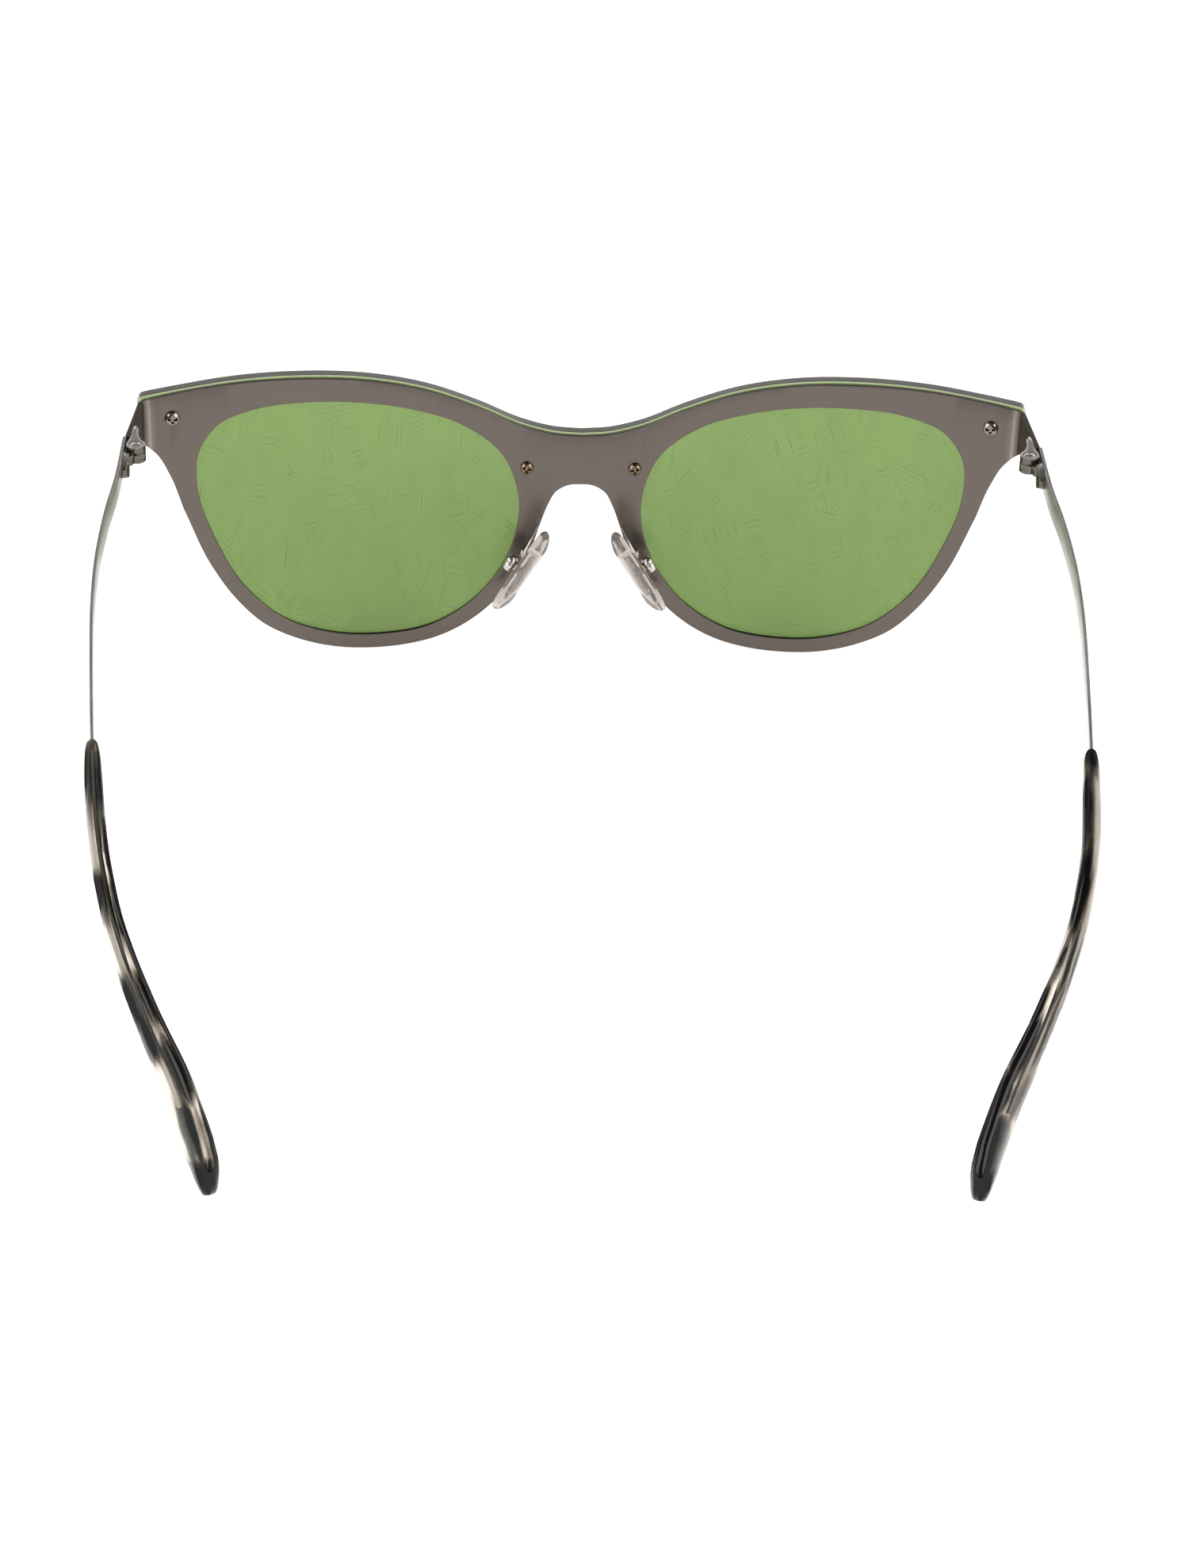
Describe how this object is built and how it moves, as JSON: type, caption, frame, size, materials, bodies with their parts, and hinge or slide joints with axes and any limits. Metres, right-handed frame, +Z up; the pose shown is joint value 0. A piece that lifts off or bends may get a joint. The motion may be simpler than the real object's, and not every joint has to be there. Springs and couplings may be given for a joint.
{
  "type": "cat eye sunglasses",
  "caption": "Rimless-look cat eye sunglasses: a metal front plate behind a flat green lens shield, metal temples with marbled tips, nose pads on small arms.",
  "frame": {"origin": "on the table under the middle of the bounding box, the glasses standing open on the lower edge of the front and the temple tips", "axes": "+X is the wearer's right, +Y is forward, out through the lens, and +Z is up"},
  "size_m": [0.1425, 0.1462, 0.0467],
  "materials": {
    "front_plate": "satin brushed, warm grey",
    "lens": "clear green, polished",
    "temple": "bright satin",
    "temple_tip": "polished black and cream horn marbling",
    "hinge": "satin gunmetal",
    "screw": "polished nickel",
    "bridge_screw": "polished, warm toned",
    "nose_pad": "clear, slightly yellowed",
    "pad_core": "dull steel",
    "pad_arm": "nickel plated",
    "bushing": "clear"
  },
  "bodies": {
    "front": {"front_plate": "front_plate", "hinge_front_left": "hinge", "hinge_front_right": "hinge", "hinge_screw_left": "screw", "hinge_screw_right": "screw", "lens_bushing_inner_left": "bushing", "lens_bushing_inner_right": "bushing", "lens_bushing_outer_left": "bushing", "lens_bushing_outer_right": "bushing", "lens_nut_inner_left": "bridge_screw", "lens_nut_inner_right": "bridge_screw", "lens_nut_outer_left": "screw", "lens_nut_outer_right": "screw", "lens_screw_inner_left": "bridge_screw", "lens_screw_inner_right": "bridge_screw", "lens_screw_outer_left": "screw", "lens_screw_outer_right": "screw", "lens_shield": "lens", "nose_pad_arm_left": "pad_arm", "nose_pad_arm_right": "pad_arm", "nose_pad_box_left": "pad_arm", "nose_pad_box_right": "pad_arm", "nose_pad_screw_left": "screw", "nose_pad_screw_right": "screw"},
    "temple_right": {"hinge_temple_right": "hinge", "temple_right": "temple", "temple_tip_right": "temple_tip"},
    "pad_right": {"nose_pad_right": "nose_pad", "nose_pad_core_right": "pad_core"},
    "temple_left": {"hinge_temple_left": "hinge", "temple_left": "temple", "temple_tip_left": "temple_tip"},
    "pad_left": {"nose_pad_left": "nose_pad", "nose_pad_core_left": "pad_core"}
  },
  "joints": [
    {"name": "temple_right_fold", "type": "hinge", "parent": "front", "child": "temple_right", "pos_m": [0.06745, 0.05178, 0.04204], "axis": [0, 0, -1], "range_deg": [0, 82]},
    {"name": "temple_left_fold", "type": "hinge", "parent": "front", "child": "temple_left", "pos_m": [-0.06745, 0.05178, 0.04204], "axis": [0, 0, 1], "range_deg": [0, 86]},
    {"name": "nose_pad_right_rock", "type": "hinge", "parent": "front", "child": "pad_right", "pos_m": [0.01082, 0.06284, 0.01727], "axis": [0.2515, -0.9334, 0.256], "range_deg": [-8, 8]},
    {"name": "nose_pad_left_rock", "type": "hinge", "parent": "front", "child": "pad_left", "pos_m": [-0.01082, 0.06284, 0.01727], "axis": [0.2515, 0.9334, -0.256], "range_deg": [-8, 8]}
  ]
}
